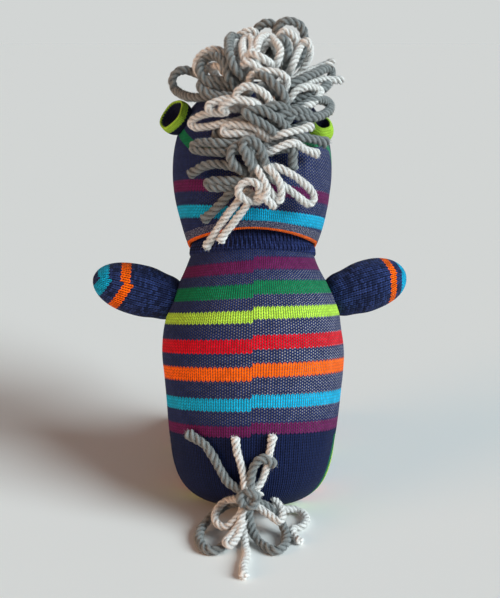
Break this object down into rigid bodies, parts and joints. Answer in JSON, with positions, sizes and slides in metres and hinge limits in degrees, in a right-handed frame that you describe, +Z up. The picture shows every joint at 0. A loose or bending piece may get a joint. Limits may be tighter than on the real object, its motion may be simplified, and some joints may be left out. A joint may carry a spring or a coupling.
{
  "type": "plush zebra",
  "caption": "Sitting stuffed toy zebra sewn from striped knitted socks, with a looped yarn mane, cupped ears, soft arms and legs, and a yarn bow for a tail.",
  "frame": {"origin": "middle of the flattened seat, on the ground", "axes": "+Z up, +Y the way the toy faces, +X towards its right hand"},
  "size_m": [0.1706, 0.1852, 0.257],
  "materials": {
    "navy_knit": "matte knit with coloured stripes",
    "purple_knit": "matte knit with coloured stripes",
    "lime_knit": "matte knit",
    "stuffing": "loose fibre",
    "grey_yarn": "twisted woolly yarn",
    "white_yarn": "twisted woolly yarn",
    "thread": "sewing thread",
    "button": "polished"
  },
  "bodies": {
    "torso": {"body_sock": "navy_knit", "body_stuffing": "stuffing", "tail_knot": "grey_yarn", "tail_grey_end_left": "grey_yarn", "tail_white_end_left": "white_yarn", "tail_grey_hook": "grey_yarn", "tail_white_end_right": "white_yarn", "tail_grey_loop_left": "grey_yarn", "tail_white_loop_left": "white_yarn", "tail_grey_loop_right": "grey_yarn", "tail_white_loop_right": "white_yarn", "tail_white_end_down": "white_yarn"},
    "neck": {"neck_stuffing": "stuffing"},
    "head": {"head_sock": "purple_knit", "head_stuffing": "stuffing", "muzzle_sock": "navy_knit", "muzzle_stuffing": "stuffing", "left_eye_button": "button", "right_eye_button": "button", "left_eye_thread": "thread", "right_eye_thread": "thread", "mane_nape_white": "white_yarn", "mane_back_grey": "grey_yarn", "mane_crown_white": "white_yarn", "mane_top_grey": "grey_yarn", "mane_brow_white": "white_yarn", "mane_right_grey": "grey_yarn", "mane_left_grey": "grey_yarn"},
    "left_arm": {"left_arm_sock": "navy_knit", "left_arm_stuffing": "stuffing"},
    "right_arm": {"right_arm_sock": "navy_knit", "right_arm_stuffing": "stuffing"},
    "left_leg": {"left_leg_sock": "lime_knit", "left_leg_stuffing": "stuffing"},
    "right_leg": {"right_leg_sock": "lime_knit", "right_leg_stuffing": "stuffing"},
    "left_ear": {"left_ear": "lime_knit"},
    "right_ear": {"right_ear": "lime_knit"}
  },
  "joints": [
    {"name": "neck_nod", "type": "hinge", "parent": "torso", "child": "neck", "pos_m": [0, 0.0206, 0.14058], "axis": [1, 0, 0], "range_deg": [-7, 7], "stiffness_Nm_per_rad": 0.6},
    {"name": "head_turn", "type": "hinge", "parent": "neck", "child": "head", "pos_m": [0, 0.0206, 0.14058], "axis": [0, 0.2588, 0.9659], "range_deg": [-30, 30], "stiffness_Nm_per_rad": 0.2},
    {"name": "left_shoulder", "type": "hinge", "parent": "torso", "child": "left_arm", "pos_m": [-0.04852, 0.0118, 0.10774], "axis": [0, 0.9659, -0.2588], "range_deg": [-25, 35], "stiffness_Nm_per_rad": 0.12},
    {"name": "right_shoulder", "type": "hinge", "parent": "torso", "child": "right_arm", "pos_m": [0.04852, 0.0118, 0.10774], "axis": [0, -0.9659, 0.2588], "range_deg": [-25, 35], "stiffness_Nm_per_rad": 0.12},
    {"name": "left_hip", "type": "hinge", "parent": "torso", "child": "left_leg", "pos_m": [-0.025, 0.0248, 0.0144], "axis": [0, 0, 1], "range_deg": [-5, 25], "stiffness_Nm_per_rad": 0.15},
    {"name": "right_hip", "type": "hinge", "parent": "torso", "child": "right_leg", "pos_m": [0.025, 0.0248, 0.0144], "axis": [0, 0, -1], "range_deg": [-5, 25], "stiffness_Nm_per_rad": 0.15},
    {"name": "left_ear_flop", "type": "hinge", "parent": "head", "child": "left_ear", "pos_m": [-0.0435, 0.02862, 0.20469], "axis": [0, 0.9659, -0.2588], "range_deg": [-20, 20], "stiffness_Nm_per_rad": 0.01},
    {"name": "right_ear_flop", "type": "hinge", "parent": "head", "child": "right_ear", "pos_m": [0.0394, 0.0189, 0.20212], "axis": [0, -0.9659, 0.2588], "range_deg": [-20, 20], "stiffness_Nm_per_rad": 0.01}
  ]
}
